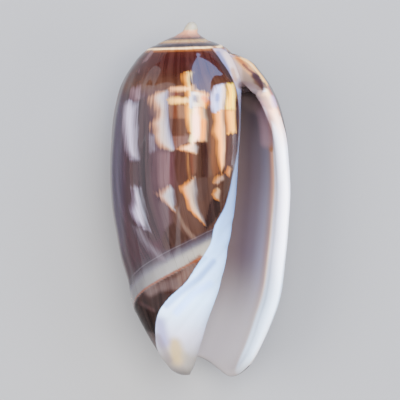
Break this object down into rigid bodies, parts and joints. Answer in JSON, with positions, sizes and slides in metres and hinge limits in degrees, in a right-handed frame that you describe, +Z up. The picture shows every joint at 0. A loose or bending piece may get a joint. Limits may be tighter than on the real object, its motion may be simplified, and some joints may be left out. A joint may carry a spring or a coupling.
{
  "type": "olive shell",
  "caption": "Glossy olive shell with a short spire, a long slot-like mouth, a notched front end and a mottled brown and cream enamel.",
  "frame": {"origin": "bottom centre of the bounding box, under the middle of the shell", "axes": "+Z up out of the mouth as the shell lies on its back, +Y to the tip of the spire, +X to the outer lip"},
  "size_m": [0.0212, 0.042, 0.0185],
  "materials": {
    "enamel": "gloss"
  },
  "bodies": {
    "root": {"shell": "enamel"}
  },
  "joints": []
}
